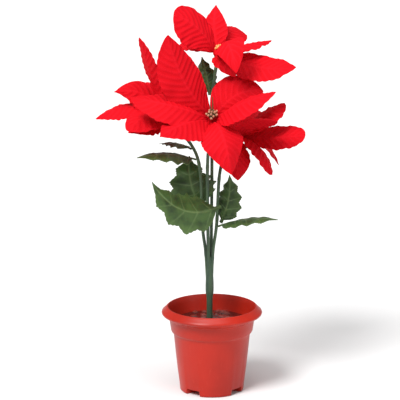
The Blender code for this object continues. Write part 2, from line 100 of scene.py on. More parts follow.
class Waves:
    """Smooth seeded noise: a sum of waves that run in many directions."""

    def __init__(self, seed: int, size: float, count: int = 14) -> None:
        """Draws the waves.

        Args:
            seed: Seed of the draw.
            size: Typical size of a lump, in the units of the places that are asked for.
            count: How many waves to add up.
        """
        draw = np.random.default_rng(seed)
        ways = units(draw.normal(size=(count, 3)))
        self.ways = ways * (2 * math.pi / (size * draw.uniform(1.2, 3.2, (count, 1))))
        self.phases = draw.uniform(0.0, 2 * math.pi, count)

    def at(self, places: np.ndarray) -> np.ndarray:
        """Gives the noise at places, mostly between -1 and 1."""
        waves = np.sin(places @ self.ways.T + self.phases)
        return waves.sum(axis=-1) / math.sqrt(len(self.phases))


class MeshKit:
    """Collects closed shells in millimetres and makes one mesh object of them."""

    def __init__(self) -> None:
        """Starts with nothing collected."""
        self.points: list[np.ndarray] = []
        self.faces: list[tuple[int, ...]] = []
        self.traits: dict[str, list[np.ndarray]] = {}
        self.count = 0

    def add(self, points: np.ndarray, faces: Iterable[Sequence[int]], **traits: Any) -> None:
        """Adds one shell.

        Args:
            points: Its corners, as rows of x, y and z.
            faces: Its faces, as corner numbers that start at 0.
            **traits: Numbers kept on its corners, one for all or one for each.
        """
        points = np.asarray(points, float).reshape(-1, 3)
        self.faces += [tuple(corner + self.count for corner in face) for face in faces]
        for name, value in traits.items():
            row = np.broadcast_to(np.asarray(value, float).reshape(-1), (len(points),))
            self.traits.setdefault(name, []).append(row)
        self.points.append(points)
        self.count += len(points)

    def sheet(self, grid: np.ndarray, thickness: float, **traits: Any) -> None:
        """Adds a thin closed sheet round a grid of points.

        Args:
            grid: The sheet's middle surface, as rows and columns of points.
            thickness: How thick the sheet is.
            **traits: Numbers kept on its corners, in the grid's shape or one for all.
        """
        along, across = np.gradient(grid, axis=0), np.gradient(grid, axis=1)
        normal = units(np.cross(across, along) + 1e-12)
        rows, columns = grid.shape[:2]
        points = np.concatenate([(grid + normal * thickness / 2).reshape(-1, 3),
                                 (grid - normal * thickness / 2).reshape(-1, 3)])
        under, faces = rows * columns, []
        for i in range(rows - 1):
            for j in range(columns - 1):
                a = i * columns + j
                b, c, d = a + 1, a + 1 + columns, a + columns
                faces.append((a, b, c, d))
                faces.append((under + d, under + c, under + b, under + a))
        rim = [*range(columns), *range(2 * columns - 1, rows * columns, columns),
               *range(rows * columns - 2, (rows - 1) * columns - 1, -1),
               *range((rows - 2) * columns, 0, -columns)]
        faces += [(a, under + a, under + b, b) for a, b in zip(rim, rim[1:] + rim[:1])]
        both = {name: np.tile(np.broadcast_to(value, (rows, columns)).reshape(-1), 2)
                for name, value in traits.items()}
        self.add(points, faces, **both)

    def tube(self, way: np.ndarray, radii: np.ndarray, sides: int, **traits: Any) -> None:
        """Adds a round section swept along a way, closed at both ends.

        Args:
            way: The middle line, as rows of points.
            radii: The radius at each of those points.
            sides: How many sides the section has.
            **traits: Numbers kept on its corners, one for all.
        """
        way = np.asarray(way, float)
        along = units(np.gradient(way, axis=0))
        side = unit(np.cross(along[0], (0.0, 1.0, 0.2)))
        angles = np.linspace(0.0, 2 * math.pi, sides, endpoint=False)
        rings = []
        for middle, direction, radius in zip(way, along, radii):
            side = unit(side - direction * (side @ direction))
            other = np.cross(direction, side)
            rings.append(middle + radius * (np.outer(np.cos(angles), side)
                                            + np.outer(np.sin(angles), other)))
        faces = [(r * sides + k, r * sides + (k + 1) % sides,
                  (r + 1) * sides + (k + 1) % sides, (r + 1) * sides + k)
                 for r in range(len(way) - 1) for k in range(sides)]
        faces.append(tuple(range(sides - 1, -1, -1)))
        faces.append(tuple(range((len(way) - 1) * sides, len(way) * sides)))
        self.add(np.concatenate(rings), faces, **traits)

    def turned(self, radii: np.ndarray, heights: np.ndarray, **traits: Any) -> None:
        """Adds a turned body whose first and last rings are drawn together in one point.

        Args:
            radii: Radius by ring and angle.
            heights: Height by ring and angle.
            **traits: Numbers kept on its corners, one for all.
        """
        rings, segments = radii.shape
        angles = np.linspace(0.0, 2 * math.pi, segments, endpoint=False)
        points = np.stack([radii * np.cos(angles), radii * np.sin(angles), heights], axis=-1)
        points = np.concatenate([points[:1, 0], points[1:-1].reshape(-1, 3), points[-1:, 0]])
        last, faces = len(points) - 1, []
        for k in range(segments):
            n = (k + 1) % segments
            faces.append((0, 1 + n, 1 + k))
            for r in range(rings - 3):
                a, b = 1 + r * segments + k, 1 + r * segments + n
                faces.append((a, b, b + segments, a + segments))
            faces.append((last, last - segments + k, last - segments + n))
        self.add(points, faces, **traits)

    def make(self, name: str, material: bpy.types.Material,
             replaces: Sequence[str], sharp: float = 50.0) -> bpy.types.Object:
        """Makes the object from what was collected.

        Args:
            name: The piece's name.
            material: Its material.
            replaces: The nodes of the frame that it stands for.
            sharp: Edges that turn by more than this many degrees are left sharp.

        Returns:
            The new object, riding on the one body of the frame.
        """
        mesh = bpy.data.meshes.new(name)
        mesh.from_pydata(np.concatenate(self.points) * MM, [], self.faces)
        shape = bmesh.new()
        shape.from_mesh(mesh)
        bmesh.ops.recalc_face_normals(shape, faces=shape.faces)
        shape.to_mesh(mesh)
        shape.free()
        for trait, rows in self.traits.items():
            layer = mesh.attributes.new(trait, "FLOAT", "POINT")
            layer.data.foreach_set("value", np.concatenate(rows).astype(np.float32))
        mesh.materials.append(material)
        mesh.shade_smooth()
        mesh.set_sharp_from_angle(angle=math.radians(sharp))
        piece = bpy.data.objects.new(name, mesh)
        bpy.context.scene.collection.objects.link(piece)
        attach(piece, BODY)
        if replaces:
            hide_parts(*replaces)
        LOG.info("%s: %d corners, %d faces", name, len(mesh.vertices), len(mesh.polygons))
        return piece


class Signal:
    """A value that varies over a surface. Its arithmetic adds Math nodes to the tree."""

    def __init__(self, shader: Shader, socket: bpy.types.NodeSocket) -> None:
        """Wraps an output socket of a shader's tree."""
        self.shader, self.socket = shader, socket

    def __add__(self, other: Number) -> Signal:
        """Gives this value plus another."""
        return self.shader.math("ADD", self, other)

    __radd__ = __add__

    def __sub__(self, other: Number) -> Signal:
        """Gives this value less another."""
        return self.shader.math("SUBTRACT", self, other)

    def __rsub__(self, other: Number) -> Signal:
        """Gives another value less this one."""
        return self.shader.math("SUBTRACT", other, self)

    def __mul__(self, other: Number) -> Signal:
        """Gives this value times another."""
        return self.shader.math("MULTIPLY", self, other)

    __rmul__ = __mul__

    def __truediv__(self, other: Number) -> Signal:
        """Gives this value divided by another."""
        return self.shader.math("DIVIDE", self, other)

    def __pow__(self, other: Number) -> Signal:
        """Gives this value to a power."""
        return self.shader.math("POWER", self, other)

    def __abs__(self) -> Signal:
        """Gives this value without its sign."""
        return self.shader.math("ABSOLUTE", self)

    def sine(self) -> Signal:
        """Gives the sine of this value in radians."""
        return self.shader.math("SINE", self)

    def within(self) -> Signal:
        """Gives this value held between 0 and 1."""
        return self.shader.math("MULTIPLY", self, 1.0, clamp=True)

    def step(self, low: float, high: float) -> Signal:
        """Gives a smooth rise from 0 at low to 1 at high, which may be the lower one."""
        settings = {"interpolation_type": "SMOOTHSTEP"}
        if low < high:
            inputs = {"Value": self, "From Min": low, "From Max": high}
            return self.shader.node("ShaderNodeMapRange", settings, inputs)
        inputs = {"Value": self, "From Min": high, "From Max": low, "To Min": 1.0, "To Max": 0.0}
        return self.shader.node("ShaderNodeMapRange", settings, inputs)


Number = Union[Signal, float]
Paint = Union[Signal, Colour]


class Shader:
    """The node tree of one material, built round a Principled shader."""

    def __init__(self, name: str, **sockets: Any) -> None:
        """Starts a material.

        Args:
            name: The material's name.
            **sockets: Plain values of the shader's sockets, with _ for each space.
        """
        self.material = bpy.data.materials.new(name)
        self.material.use_nodes = True
        self.tree = self.material.node_tree
        self.surface = self.tree.nodes["Principled BSDF"]
        for key, value in sockets.items():
            self.surface.inputs[key.replace("_", " ")].default_value = value

    def feed(self, socket: bpy.types.NodeSocket, value: Any) -> None:
        """Links a signal to an input socket, or sets a plain value there."""
        if isinstance(value, Signal):
            self.tree.links.new(value.socket, socket)
        elif isinstance(value, tuple) and socket.type == "RGBA":
            socket.default_value = (*value, 1.0)
        else:
            socket.default_value = value

    def node(self, kind: str, settings: dict[str, Any] | None = None,
             inputs: dict[Any, Any] | None = None, output: int | str = 0) -> Signal:
        """Adds a node.

        Args:
            kind: The node's type.
            settings: Its own settings, which are made first. "stops" are a ramp's stops.
            inputs: Values or signals of its input sockets, by name or number.
            output: Which of its outputs to give.

        Returns:
            The chosen output.
        """
        node = self.tree.nodes.new(kind)
        for key, value in (settings or {}).items():
            if key == "stops":
                self._set_stops(node.color_ramp, value)
            else:
                setattr(node, key, value)
        for key, value in (inputs or {}).items():
            self.feed(node.inputs[key], value)
        return Signal(self, node.outputs[output])

    @staticmethod
    def _set_stops(ramp: bpy.types.ColorRamp, stops: Sequence[tuple[float, Colour]]) -> None:
        """Gives a colour ramp its stops, each a place and a colour."""
        while len(ramp.elements) < len(stops):
            ramp.elements.new(0.5)
        for element, (place, colour) in zip(ramp.elements, stops):
            element.position = place
            element.color = (*colour, 1.0)

    def math(self, operation: str, *values: Number, clamp: bool = False) -> Signal:
        """Adds a Math node on the given values."""
        settings = {"operation": operation, "use_clamp": clamp}
        return self.node("ShaderNodeMath", settings, dict(enumerate(values)))

    def mix(self, factor: Number, a: Paint, b: Paint, blend: str = "MIX") -> Signal:
        """Adds a Mix node that blends colour b over colour a."""
        settings = {"data_type": "RGBA", "blend_type": blend}
        return self.node("ShaderNodeMix", settings, {0: factor, 6: a, 7: b}, output=2)

    def ramp(self, factor: Number, stops: Sequence[tuple[float, Colour]]) -> Signal:
        """Adds a colour ramp."""
        return self.node("ShaderNodeValToRGB", {"stops": stops}, {0: factor})

    def trait(self, name: str) -> Signal:
        """Reads a number that the mesh keeps on its corners."""
        return self.node("ShaderNodeAttribute", {"attribute_name": name}, output="Fac")

    def noise(self, scale: float, detail: float = 3.0, stretch: Point = (1, 1, 1)) -> Signal:
        """Adds noise in the part's own space.

        Args:
            scale: Lumps in a metre.
            detail: How many finer layers to add.
            stretch: Scale of each axis before the noise is read.

        Returns:
            The noise, about 0.5 on average.
        """
        place = self.node("ShaderNodeTexCoord", output="Object")
        place = self.node("ShaderNodeMapping", {}, {"Vector": place, "Scale": stretch})
        inputs = {"Vector": place, "Scale": scale, "Detail": detail}
        return self.node("ShaderNodeTexNoise", {}, inputs)

    def bump(self, height: Number, distance: float, strength: float = 1.0,
             under: Signal | None = None) -> Signal:
        """Adds a Bump node over an optional normal, with its distance in metres."""
        inputs = {"Height": height, "Distance": distance, "Strength": strength}
        if under is not None:
            inputs["Normal"] = under
        return self.node("ShaderNodeBump", {}, inputs)

    def weave(self, pitch: float) -> Signal:
        """Gives the height of a plain weave, from threads that run along and across.

        Args:
            pitch: Distance between threads in metres.

        Returns:
            A height of about 0 to 1.
        """
        along = (self.trait("warp") * (2 * math.pi * MM / pitch)).sine()
        across = (self.trait("weft") * (2 * math.pi * MM / pitch)).sine()
        return along * across * 0.5 + 0.5

    def dress(self, **inputs: Number) -> bpy.types.Material:
        """Feeds the shader's sockets, named with _ for each space, and gives the material."""
        for key, value in inputs.items():
            self.feed(self.surface.inputs[key.replace("_", " ")], value)
        return self.material


@dataclass(frozen=True)
class BractCloth:
    """Red woven polyester with pressed veins. Painted highlights lie along the veins, and
    painted shade makes it a little darker towards the root.
    """

    face: Colour = (0.68, 0.005, 0.013)
    # deep serves both the random darker tone of the cloth and the painted shade towards the
    # root.
    deep: Colour = (0.46, 0.002, 0.006)
    # The lighter red painted along the veins as a highlight.
    painted_highlight: Colour = (0.80, 0.014, 0.030)
    thread: float = 0.00042

    def material(self) -> bpy.types.Material:
        """Gives the material."""
        shader = Shader("bract_cloth", Specular_IOR_Level=0.06)
        vein = shader.trait("vein")
        blotch = shader.noise(70.0, 4.0)
        tone = (shader.trait("tone") * 0.35 + blotch * 0.5).within()
        colour = shader.mix(tone, self.face, self.deep)
        # Painted shade: the cloth is painted darker towards the root, deep in the head where
        # shade falls.
        root = shader.trait("reach").step(0.35, 0.0)
        colour = shader.mix(root * 0.45, colour, self.deep)
        # Painted highlight: the veins and the midrib are painted lighter, as where light catches
        # their ridges.
        colour = shader.mix(vein * 0.45, colour, self.painted_highlight)
        weave = shader.weave(self.thread)
        fuzz = shader.noise(5200.0, 2.0)
        normal = shader.bump(weave * 0.6 + fuzz * 0.4, 0.00010, 0.35)
        rough = 0.66 + blotch * 0.14
        return shader.dress(Base_Color=colour, Roughness=rough, Normal=normal)


@dataclass(frozen=True)
class LeafCloth:
    """Printed green woven polyester, paler along its veins and a little glossy."""

    face: Colour = (0.052, 0.104, 0.024)
    deep: Colour = (0.020, 0.042, 0.012)
    vein: Colour = (0.15, 0.23, 0.085)
    edge: Colour = (0.10, 0.17, 0.045)
    thread: float = 0.00042

    def material(self) -> bpy.types.Material:
        """Gives the material."""
        shader = Shader("leaf_cloth", Sheen_Weight=0.04, Specular_IOR_Level=0.35)
        vein, side = shader.trait("vein"), shader.trait("side")
        blotch = shader.noise(90.0, 5.0)
        colour = shader.mix(blotch.step(0.35, 0.7), self.face, self.deep)
        colour = shader.mix(side.step(0.55, 1.0) * 0.4, colour, self.edge)
        colour = shader.mix(vein * 0.7, colour, self.vein)
        weave = shader.weave(self.thread)
        normal = shader.bump(weave * 0.6 + shader.noise(5200.0, 2.0) * 0.4, 0.00010, 0.3)
        rough = 0.34 + blotch * 0.16
        return shader.dress(Base_Color=colour, Roughness=rough, Normal=normal)


@dataclass(frozen=True)
class StemPlastic:
    """Green plastic coat of the wires, bluer and darker on the trunk."""

    face: Colour = (0.075, 0.130, 0.062)
    deep: Colour = (0.030, 0.062, 0.040)
    scuff: Colour = (0.16, 0.22, 0.13)

    def material(self) -> bpy.types.Material:
        """Gives the material."""
        shader = Shader("stem_plastic", Specular_IOR_Level=0.45)
        streak = shader.noise(240.0, 4.0, (1.0, 1.0, 0.12))
        colour = shader.mix(streak.step(0.4, 0.7), self.face, self.deep)
        colour = shader.mix(shader.trait("trunk") * 0.55, colour, self.deep)
        scuff = shader.noise(900.0, 3.0).step(0.62, 0.74)
        colour = shader.mix(scuff * 0.35, colour, self.scuff)
        normal = shader.bump(streak + shader.noise(2600.0, 2.0) * 0.3, 0.00018, 0.5)
        return shader.dress(Base_Color=colour, Roughness=0.40 + streak * 0.2, Normal=normal)


@dataclass(frozen=True)
class FloretPlastic:
    """Moulded plastic of the florets, painted from their foot to their mouth."""

    name: str
    stops: tuple[tuple[float, Colour], ...]

    def material(self) -> bpy.types.Material:
        """Gives the material."""
        shader = Shader(self.name, Specular_IOR_Level=0.5)
        speck = shader.noise(1600.0, 3.0)
        rise = (shader.trait("rise") + (speck - 0.5) * 0.25).within()
        colour = shader.ramp(rise, self.stops)
        colour = shader.mix(shader.trait("tone") * 0.5, colour, self.stops[0][1])
        normal = shader.bump(speck, 0.00012, 0.5)
        return shader.dress(Base_Color=colour, Roughness=0.32 + speck * 0.2, Normal=normal)


@dataclass(frozen=True)
class PotPlastic:
    """Thin moulded red plastic, half glossy, with faint turning rings and scuffs."""

    face: Colour = (0.46, 0.017, 0.006)
    deep: Colour = (0.36, 0.014, 0.006)
    dust: Colour = (0.54, 0.06, 0.035)

    def material(self) -> bpy.types.Material:
        """Gives the material."""
        shader = Shader("pot_plastic", Specular_IOR_Level=0.32)
        cloud = shader.noise(26.0, 4.0)
        colour = shader.mix(cloud.step(0.35, 0.75), self.face, self.deep)
        scuff = shader.noise(420.0, 5.0, (1.0, 1.0, 0.25)).step(0.60, 0.78)
        colour = shader.mix(scuff * 0.25, colour, self.dust)
        ring = shader.noise(900.0, 2.0, (0.02, 0.02, 1.0))
        grain = shader.noise(2400.0, 2.0)
        normal = shader.bump(ring * 0.6 + grain * 0.25 + cloud * 0.6, 0.00010, 0.4)
        rough = 0.30 + cloud * 0.12 + scuff * 0.2
        return shader.dress(Base_Color=colour, Roughness=rough, Normal=normal)


@dataclass(frozen=True)
class FillResin:
    """Set glossy fill of a red brown colour, with painted shade in its dips and painted
    highlights on its lumps.
    """

    face: Colour = (0.200, 0.026, 0.014)
    # The painted shade of the dips.
    deep: Colour = (0.060, 0.008, 0.006)
    # The painted highlight on the tops of the lumps.
    painted_highlight: Colour = (0.34, 0.075, 0.04)

    def material(self) -> bpy.types.Material:
        """Gives the material."""
        shader = Shader("fill_resin", Specular_IOR_Level=0.65, Coat_Roughness=0.06)
        rise = shader.trait("rise")
        grain = shader.noise(520.0, 4.0)
        # Painted shade: the dips between the lumps are painted darker, broken up by grain.
        colour = shader.mix((rise + (grain - 0.5) * 0.6).step(0.65, 0.1), self.face, self.deep)
        # Painted highlight: the tops of the lumps are painted lighter where the grain is high.
        colour = shader.mix(grain.step(0.62, 0.78) * rise, colour, self.painted_highlight)
        normal = shader.bump(grain + shader.noise(1500.0, 3.0) * 0.3, 0.0007, 0.55)
        return shader.dress(Base_Color=colour, Roughness=0.16 + grain * 0.16,
                            Coat_Weight=0.35 + rise * 0.4, Normal=normal)


@dataclass(frozen=True)
class Bract:
    """One red cloth bract. Its tip is given from the middle of its head's hub."""

    tip: Point
    width: float = 38.0
    bow: float = 8.0
    sway: float = 0.0
    roll: float = 0.0
    fold: float = -16.0
    belly: float = 0.48


@dataclass(frozen=True)
class Spine:
    """The midrib of a cloth blade and the frame that its two halves are laid out in."""

    root: np.ndarray
    tip: np.ndarray
    facing: Sequence[float]
    bow: float
    sway: float
    roll: float
    base_width: float = 3.6
    tip_width: float = 0.9

    def frames(self, rows: np.ndarray) -> tuple[np.ndarray, ...]:
        """Works out the midrib's points, with the way across and the way up at each.

        Args:
            rows: How far along the midrib each point lies, from 0 to 1.

        Returns:
            Arrays of the points, the sides, the normals and the directions along.
        """
        chord = unit(self.tip - self.root)
        up = unit(np.asarray(self.facing, float) - chord * np.dot(self.facing, chord))
        across = np.cross(chord, up)
        crest = (self.root + self.tip) / 2 + 2 * self.bow * up + 2 * self.sway * across
        s = rows[:, None]
        middle = self.root * (1 - s) ** 2 + crest * 2 * s * (1 - s) + self.tip * s * s
        along = units((crest - self.root) * (1 - s) + (self.tip - crest) * s)
        side = units(np.cross(along, up))
        normal = np.cross(side, along)
        turn = math.radians(self.roll)
        side, normal = (side * math.cos(turn) + normal * math.sin(turn),
                        normal * math.cos(turn) - side * math.sin(turn))
        return middle, side, normal, along

    def length(self) -> float:
        """Gives the straight length of the midrib."""
        return float(np.linalg.norm(self.tip - self.root))

    def half_width(self, width: float, rows: np.ndarray, shares: np.ndarray) -> np.ndarray:
        """Gives the blade's half width along it, never under its root's and tip's own."""
        base = self.base_width / 2 * (1 - rows)
        return np.maximum(np.maximum(width / 2 * shares, base), self.tip_width / 2)


class FloretKind(Enum):
    """How far a cluster of florets has opened."""

    BUDS = "buds"
    SEEDED = "seeded"


@dataclass(frozen=True)
class Head:
    """A flower head: its hub, the way it faces, its florets and its bracts."""

    name: str
    seat: Point
    axis: Point
    beads: int
    spread: float
    bracts: tuple[Bract, ...]
    kind: FloretKind = FloretKind.BUDS
    style: Point | None = None
    seed: int = 1
    rows: int = 108
    columns: int = 27
    vein_pitch: float = 5.6
    vein_lean: float = 0.20
    thickness: float = 0.5
    edge_ripple: float = 0.5
    hub_radius: float = 4.6
    hub_height: float = 4.0
    root_radius: float = 3.0
    neck: float = 2.5
    seat_gap: float = 0.3
    bead_radius: float = 1.7

    def outline(self, rows: np.ndarray, belly: float) -> np.ndarray:
        """Gives a bract's half width along it, as a share of its widest place."""
        s = np.clip(rows, 1e-6, 1.0 - 1e-6)
        rise = 0.75
        fall = rise * (1.0 - belly) / belly
        return (s / belly) ** rise * ((1.0 - s) / (1.0 - belly)) ** fall

    def bract_sheet(self, kit: MeshKit, bract: Bract, number: int) -> None:
        """Adds one bract with its pressed veins, its pleats and its scalloped edge."""
        seat, axis = np.array(self.seat), unit(self.axis)
        tip = np.array(bract.tip)
        root = seat + unit(tip - axis * (tip @ axis)) * self.root_radius
        spine = Spine(root, seat + tip, axis, bract.bow, bract.sway, bract.roll)
        s, t = np.linspace(0.0, 1.0, self.rows), np.linspace(-1.0, 1.0, self.columns)
        middle, side, normal, along = spine.frames(s)
        shares = self.outline(s, bract.belly)
        length = spine.length()
        veins = length / self.vein_pitch
        noise = Waves(self.seed * 31 + number, 11.0)
        lean = self.vein_lean * bract.width / length
        bulge = np.abs(np.sin(math.pi * veins * (s - lean * 1.2)))
        fray = noise.at(np.stack([s * length * 3, 0 * s, 0 * s], axis=1)) * 0.012
        half = spine.half_width(bract.width, s, shares * (0.99 + 0.018 * (bulge - 0.6) + fray))
        across = half[:, None] * t
        phase = veins * (s[:, None] - lean * 1.6 * np.abs(t))
        offset = (phase - np.floor(phase) - 0.5) * self.vein_pitch
        alive = np.clip(shares * 1.6, 0.0, 1.0)[:, None] * np.clip(np.abs(across) / 2.0, 0, 1)
        vein = bell(offset, 0.6) * alive
        rib = bell(across, 0.85) * np.clip((1.0 - s) * 6.0, 0.0, 1.0)[:, None]
        puff = np.cos(2 * math.pi * phase) * -0.24 * alive
        gather = 0.5 * np.cos(5 * math.pi * t) * bell(s, 0.17)[:, None] * (s[:, None] > 0.02)
        ripple = (self.edge_ripple * shares[:, None] * t ** 2
                  * np.sin(9.0 * math.pi * s[:, None] + t))
        flat = middle[:, None] + side[:, None] * across[..., None]
        crumple = noise.at(flat) * 0.45 * np.clip(np.abs(across) / 6.0, 0, 1)
        fold = math.radians(bract.fold)
        height = (np.abs(across) * math.sin(fold) + ripple + puff + gather + crumple
                  + 0.22 * vein - 0.38 * rib)
        grid = (middle[:, None] + side[:, None] * (across * math.cos(fold))[..., None]
                + normal[:, None] * height[..., None])
        fine = np.clip(vein * 0.8 + rib * 0.7, 0.0, 1.0)
        tone = np.random.default_rng(self.seed * 17 + number).uniform(0.0, 0.8)
        # reach also sets the painted shade towards the root, and vein sets the painted
        # highlights along the veins.
        kit.sheet(grid, self.thickness, vein=fine, reach=s[:, None] + 0 * t, tone=tone,
                  warp=length * s[:, None] + 0 * t, weft=across)

    def hub(self, kit: MeshKit) -> None:
        """Adds the pressed disc that holds the bracts."""
        seat, axis = np.array(self.seat), unit(self.axis)
        ends = np.linspace(-0.5, 0.5, 9)
        radii = self.hub_radius * np.sqrt(np.clip(1.0 - (ends * 1.86) ** 2 * 0.55, 0.0, 1.0))
        way = seat + axis * (ends * self.hub_height)[:, None]
        # With reach 0 the hub takes the full painted shade of the root.
        kit.tube(way, radii, 28, vein=0.0, reach=0.0, tone=0.6, warp=0.0, weft=0.0)

    def bracts_piece(self, material: bpy.types.Material) -> bpy.types.Object:
        """Makes the piece of all the head's bracts."""
        kit = MeshKit()
        for number, bract in enumerate(self.bracts):
            self.bract_sheet(kit, bract, number)
        self.hub(kit)
        return kit.make(f"bract_cloth_{self.name}", material,
                        [f"bracts_{self.name}"], sharp=75.0)

    def floret(self, kit: MeshKit, foot: np.ndarray, way: np.ndarray, size: float,
               tone: float) -> None:
        """Adds one floret: a little cup with a drawn-in mouth and a bud that stands in it.

        Args:
            kit: Where the shell goes.
            foot: Where the floret stands.
            way: The direction it points in.
            size: Its radius.
            tone: How dark it is, from 0 to 1.
        """
        profile = np.array([(0.30, 0.0), (0.62, 0.25), (0.95, 0.75), (1.0, 1.25), (0.86, 1.75),
                            (0.66, 2.0), (0.52, 1.86), (0.44, 1.98), (0.30, 2.35), (0.06, 2.48)])
        line = foot + way * (profile[:, 1] * size)[:, None]
        kit.tube(line, profile[:, 0] * size, 14, rise=0.5, tone=tone)
        rises = np.repeat(profile[:, 1] / 2.48, 14)
        kit.traits["rise"][-1] = rises

    def florets_piece(self, material: bpy.types.Material, slot: str) -> bpy.types.Object:
        """Makes the cluster of florets that stands on the head's hub.

        Args:
            material: The cluster's material.
            slot: Not used.

        Returns:
            The new piece.
        """
        kit = MeshKit()
        draw = np.random.default_rng(self.seed + 5)
        seat, axis = np.array(self.seat), unit(self.axis)
        foot = seat + axis * (self.hub_height / 2 + self.seat_gap)
        dome = self.spread * 0.75
        heights = np.array((0.0, self.neck * 0.6, self.neck, self.neck + dome * 0.5,
                            self.neck + dome * 0.9))
        kit.tube(foot + axis * heights[:, None], np.array((1.3, 1.2, 1.5, dome, dome * 0.6)),
                 18, rise=0.0, tone=0.9)
        side = unit(np.cross(axis, (1.0, 0.0, 0.3)))
        other = np.cross(axis, side)
        golden = math.radians(137.5)
        for k in range(self.beads):
            reach = math.sqrt((k + 0.4) / self.beads)
            out = math.cos(k * golden) * side + math.sin(k * golden) * other
            place = (foot + axis * (self.neck + dome * (1.15 - 0.75 * reach ** 2))
                     + self.spread * 0.85 * reach * out)
            way = unit(axis * 1.1 + out * reach * 0.9)
            size = self.bead_radius * draw.uniform(0.72, 0.9)
            self.floret(kit, place - way * size * 0.9, way, size, draw.uniform(0.0, 0.9))
        if self.style is not None:
            start = foot + axis * (self.neck + dome * 0.5)
            line = start + np.outer(np.linspace(0.0, 1.0, 16), unit(self.style) * 17.0)
            line[:, 0] += 0.5 * np.sin(np.linspace(0.0, 3.0, 16))
            kit.tube(line, np.linspace(0.85, 0.32, 16), 10, rise=0.35, tone=0.2)
        return kit.make(f"floret_cluster_{self.name}", material,
                        [f"florets_{self.name}"], sharp=60.0)


@dataclass(frozen=True)
class Leaf:
    """One lobed green cloth leaf, from the root of its stalk on a stem to its tip."""

    name: str
    root: Point
    tip: Point
    facing: Point
    width: float = 42.0
    bow: float = 6.0
    sway: float = 0.0
    fold: float = -12.0
    seed: int = 3
    rows: int = 110
    columns: int = 31
    thickness: float = 0.5
    edge_ripple: float = 0.5
    outline: tuple[tuple[float, float], ...] = (
        (0.0, 0.07), (0.07, 0.10), (0.15, 0.55), (0.24, 0.86), (0.31, 0.74), (0.42, 1.0),
        (0.50, 0.72), (0.60, 0.84), (0.69, 0.50), (0.79, 0.52), (0.88, 0.20), (1.0, 0.02))
    lobes: tuple[float, ...] = (0.24, 0.42, 0.60, 0.79)

    def piece(self, material: bpy.types.Material) -> bpy.types.Object:
        """Makes the leaf with its midrib, its side veins and its puffed lobes."""
        kit = MeshKit()
        spine = Spine(np.array(self.root), np.array(self.tip), self.facing, self.bow,
                      self.sway, 0.0)
        s, t = np.linspace(0.0, 1.0, self.rows), np.linspace(-1.0, 1.0, self.columns)
        middle, side, normal, along = spine.frames(s)
        knots = np.array(self.outline)
        shares = np.interp(s, knots[:, 0], knots[:, 1])
        length = spine.length()
        noise = Waves(self.seed * 7 + len(self.name), 13.0)
        teeth = 0.035 * np.abs(np.sin(26.0 * math.pi * s)) * np.clip(shares * 2, 0, 1)
        half = spine.half_width(self.width, s, shares * 0.98 + teeth - 0.01)
        across = half[:, None] * t
        vein = np.zeros_like(across)
        for lobe in self.lobes:
            start = lobe - 0.13
            line = start + (lobe - start) * np.abs(t) ** 1.1
            vein = np.maximum(vein, bell((s[:, None] - line) * length, 0.55))
        vein *= np.clip(np.abs(across) / 1.5, 0, 1) * np.clip(1.3 - np.abs(t), 0, 1)
        rib = bell(across, 0.8) * np.clip((1.0 - s) * 8.0, 0.0, 1.0)[:, None]
        puff = 0.0 * across
        for lobe in self.lobes:
            puff += 0.7 * bell(s[:, None] - lobe + 0.055, 0.055) * np.sin(math.pi * np.abs(t))
        ripple = (self.edge_ripple * shares[:, None] * t ** 2
                  * np.sin(9.0 * math.pi * s[:, None] + t))
        flat = middle[:, None] + side[:, None] * across[..., None]
        crumple = noise.at(flat) * 0.5 * np.clip(np.abs(across) / 6.0, 0, 1)
        fold = math.radians(self.fold)
        height = (np.abs(across) * math.sin(fold) + ripple + puff + crumple
                  - 0.25 * vein - 0.45 * rib)
        grid = (middle[:, None] + side[:, None] * (across * math.cos(fold))[..., None]
                + normal[:, None] * height[..., None])
        kit.sheet(grid, self.thickness, vein=np.clip(vein * 0.8 + rib, 0, 1),
                  side=np.abs(t) + 0 * across, warp=length * s[:, None] + 0 * t, weft=across)
        stalk = middle[:30] - normal[:30] * 0.35
        kit.tube(stalk, np.linspace(0.95, 0.35, 30), 10, vein=0.5, side=0.0, warp=0.0, weft=0.0)
        return kit.make(f"{self.name}_cloth", material, [self.name], sharp=75.0)


